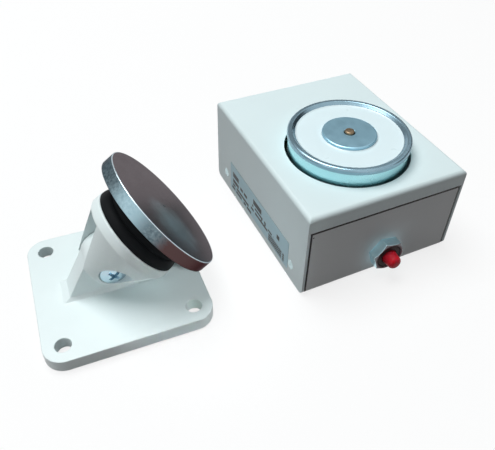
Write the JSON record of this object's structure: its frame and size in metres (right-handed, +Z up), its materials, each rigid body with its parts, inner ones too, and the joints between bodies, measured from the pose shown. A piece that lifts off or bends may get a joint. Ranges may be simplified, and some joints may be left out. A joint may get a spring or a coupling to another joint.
{
  "type": "electromagnetic door holder",
  "caption": "Boxed pot magnet with a release button, and a swivelling keeper whose rubber-backed disc it holds, to keep a door open until the current stops.",
  "frame": {"origin": "on the mounting plane, under the axis of the pot magnet", "axes": "+Z up from the mounting plane along the pot's axis, +X along the front of the case to the right, +Y to the back of the case; the keeper lies to -X"},
  "size_m": [0.185, 0.1051, 0.063],
  "materials": {
    "case_paint": "pale grey-white powder coat, satin",
    "panel_paint": "pale grey-white coat, semi-gloss",
    "label_film": "silver-blue printed film, blank",
    "grommet_rubber": "matt black",
    "bracket_zinc": "zinc plated sheet",
    "cup_zinc": "turned and zinc plated",
    "pole_steel": "zinc plated, satin",
    "disc_steel": "turned and nickel plated",
    "nut_nickel": "nickel plated",
    "pivot_zinc": "blue zinc plated",
    "zinc_screws": "zinc plated",
    "spring_steel": "spring steel",
    "pin_brass": "tarnished",
    "contact_brass": "plain brass",
    "copper_wire": "enamelled copper wire",
    "potting_resin": "cast white resin",
    "bobbin_plastic": "natural nylon",
    "button_red": "gloss red",
    "switch_body": "moulded, dark grey",
    "plunger_plastic": "natural acetal",
    "board_laminate": "green solder mask",
    "block_plastic": "moulded, green",
    "diode_black": "moulded, black",
    "lead_red": "soft insulation",
    "lead_black": "soft insulation",
    "lead_white": "soft insulation",
    "keeper_plastic": "moulded white, satin",
    "cushion_rubber": "matt black"
  },
  "bodies": {
    "holder": {"cover": "case_paint", "cover_screws": "zinc_screws", "chassis": "panel_paint", "rating_label": "label_film", "cable_grommet": "grommet_rubber", "magnet_bracket": "bracket_zinc", "magnet_bolt": "zinc_screws", "magnet_washer": "spring_steel", "magnet_cup": "cup_zinc", "pole_core": "pole_steel", "coil_bobbin": "bobbin_plastic", "coil_winding": "copper_wire", "potting_ring": "potting_resin", "ejector_spring": "spring_steel", "switch_nut": "nut_nickel", "switch_washer": "spring_steel", "switch_housing": "switch_body", "switch_spring": "spring_steel", "switch_base": "switch_body", "switch_terminals": "contact_brass", "circuit_board": "board_laminate", "board_posts": "contact_brass", "board_screws": "zinc_screws", "terminal_block": "block_plastic", "terminal_screws": "zinc_screws", "suppressor_diode": "diode_black", "coil_lead_red": "lead_red", "coil_lead_black": "lead_black", "switch_lead_left": "lead_white", "switch_lead_right": "lead_white", "keeper_base": "keeper_plastic"},
    "ejector": {"ejector_pin": "pin_brass"},
    "button": {"button_cap": "button_red", "switch_plunger": "plunger_plastic", "switch_bridge": "contact_brass"},
    "head": {"swivel_head": "keeper_plastic", "pivot_screw": "pivot_zinc", "pivot_washer": "spring_steel", "pivot_nut": "zinc_screws", "cushion_ring": "cushion_rubber"},
    "armature": {"armature_disc": "disc_steel", "armature_bolt": "zinc_screws", "armature_washer": "spring_steel"}
  },
  "joints": [
    {"name": "button_press", "type": "slide", "parent": "holder", "child": "button", "axis": [0, 1, 0], "range_m": [0, 0.0025], "stiffness_N_per_m": 800, "springref_m": -0.002, "deforming": ["switch_spring"]},
    {"name": "ejector_press", "type": "slide", "parent": "holder", "child": "ejector", "axis": [0, 0, -1], "range_m": [0, 0.0008], "stiffness_N_per_m": 3000, "springref_m": -0.001, "deforming": ["ejector_spring"]},
    {"name": "head_tilt", "type": "hinge", "parent": "holder", "child": "head", "pos_m": [-0.1116, 0.00187, 0.0209], "axis": [-0.0523, -0.9986, 0], "range_deg": [-8.5, 117]},
    {"name": "armature_rock", "type": "hinge", "parent": "head", "child": "armature", "pos_m": [-0.09981, 0.00126, 0.02932], "axis": [-0.5799, 0.0304, 0.8141], "range_deg": [-4, 1], "stiffness_Nm_per_rad": 1.5, "deforming": ["cushion_ring"]}
  ]
}
